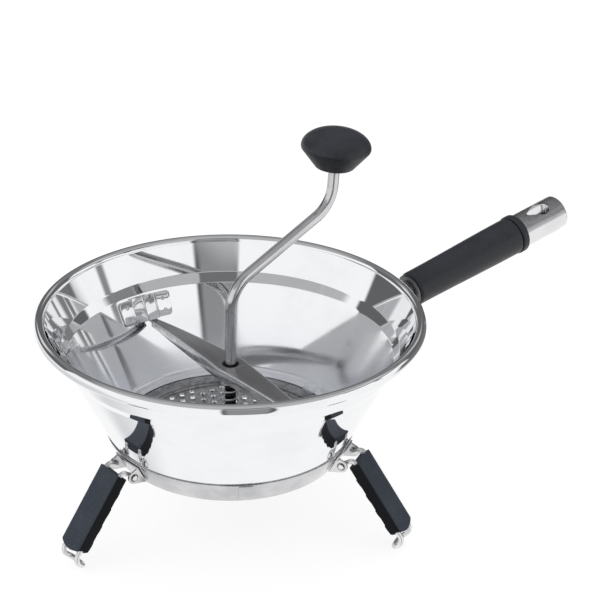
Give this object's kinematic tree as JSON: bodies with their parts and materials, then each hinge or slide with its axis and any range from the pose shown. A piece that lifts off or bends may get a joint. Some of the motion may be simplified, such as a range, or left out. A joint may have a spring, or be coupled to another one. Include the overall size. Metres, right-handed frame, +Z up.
{
  "type": "food mill",
  "caption": "Hand-cranked conical steel food mill with perforated disc, sprung crossbar, half-moon blade, straight side handle and folding wire legs.",
  "frame": {"origin": "middle of the whole mill's bounding box, on the plane its feet stand on", "axes": "+X towards the handle's tip, +Z up along the bowl's axis, +Y across the handle along the crossbar"},
  "size_m": [0.4374, 0.26, 0.2609],
  "materials": {
    "polished_steel": "mirror-polished stainless steel",
    "satin_steel": "satin stainless steel",
    "dark_steel": "dull grey stamped steel with bright worn edges",
    "bush_black": "matte black",
    "charcoal_plastic": "satin charcoal moulding",
    "slate_silicone": "matte slate grey"
  },
  "bodies": {
    "mill": {"bowl": "polished_steel", "base_band": "satin_steel", "crossbar_clip_1": "polished_steel", "crossbar_clip_2": "polished_steel", "sieve_disc": "satin_steel", "handle_bracket": "satin_steel", "handle_core": "satin_steel", "handle_grip": "charcoal_plastic", "grip_collar_inner": "satin_steel", "grip_collar_outer": "charcoal_plastic", "handle_tube": "polished_steel", "leg_bracket_1": "satin_steel", "leg_bracket_2": "satin_steel", "leg_bracket_3": "satin_steel"},
    "crank": {"crank_rod": "polished_steel", "blade_hub": "satin_steel", "press_blade": "satin_steel", "spring_washer": "polished_steel", "pressure_spring": "polished_steel"},
    "knob": {"crank_knob": "charcoal_plastic"},
    "bridge": {"crossbar": "dark_steel", "crossbar_bush": "bush_black"},
    "leg_1": {"leg_wire_1": "satin_steel", "leg_sleeve_1": "slate_silicone"},
    "leg_2": {"leg_wire_2": "satin_steel", "leg_sleeve_2": "slate_silicone"},
    "leg_3": {"leg_wire_3": "satin_steel", "leg_sleeve_3": "slate_silicone"}
  },
  "joints": [
    {"name": "crank_spin", "type": "hinge", "parent": "mill", "child": "crank", "pos_m": [-0.08766, 0, 0.061], "axis": [0, 0, 1], "continuous": true},
    {"name": "knob_spin", "type": "hinge", "parent": "crank", "child": "knob", "pos_m": [-0.00261, 0, 0.23355], "axis": [0.0698, 0, 0.9976], "continuous": true},
    {"name": "bridge_press", "type": "slide", "parent": "mill", "child": "bridge", "axis": [0, 0, -1], "range_m": [0, 0.0051], "stiffness_N_per_m": 600, "springref_m": -0.008, "deforming": ["pressure_spring"]},
    {"name": "leg_fold_1", "type": "hinge", "parent": "mill", "child": "leg_1", "pos_m": [-0.17358, 0, 0.0584], "axis": [0, -1, 0], "range_deg": [0, 95]},
    {"name": "leg_fold_2", "type": "hinge", "parent": "mill", "child": "leg_2", "pos_m": [-0.0447, 0.07441, 0.0584], "axis": [-0.866, 0.5, 0], "range_deg": [0, 95]},
    {"name": "leg_fold_3", "type": "hinge", "parent": "mill", "child": "leg_3", "pos_m": [-0.0447, -0.07441, 0.0584], "axis": [0.866, 0.5, 0], "range_deg": [0, 95]}
  ]
}
